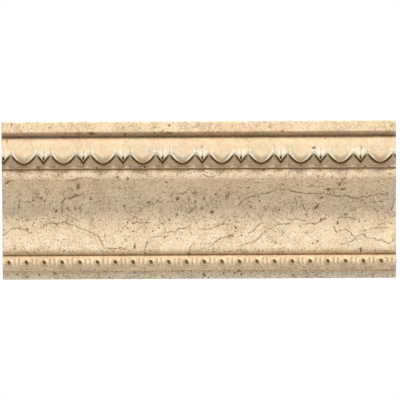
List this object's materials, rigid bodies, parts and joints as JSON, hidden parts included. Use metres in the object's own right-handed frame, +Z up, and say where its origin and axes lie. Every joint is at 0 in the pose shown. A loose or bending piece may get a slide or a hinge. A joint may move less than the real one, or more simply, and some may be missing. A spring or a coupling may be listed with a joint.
{
  "type": "cornice moulding",
  "caption": "Straight stone cornice moulding, cut square at both ends: plain fascia, egg-and-dart band, wide cove, bead-and-reel strip and flat back.",
  "frame": {"origin": "middle of the flat back face, where the moulding meets the wall", "axes": "+X along the length, to the right seen from the carved side; +Y out of the back, into the wall; +Z up"},
  "size_m": [0.305, 0.05, 0.122],
  "materials": {
    "stone": "satin"
  },
  "bodies": {
    "root": {"cornice_moulding": "stone"}
  },
  "joints": []
}
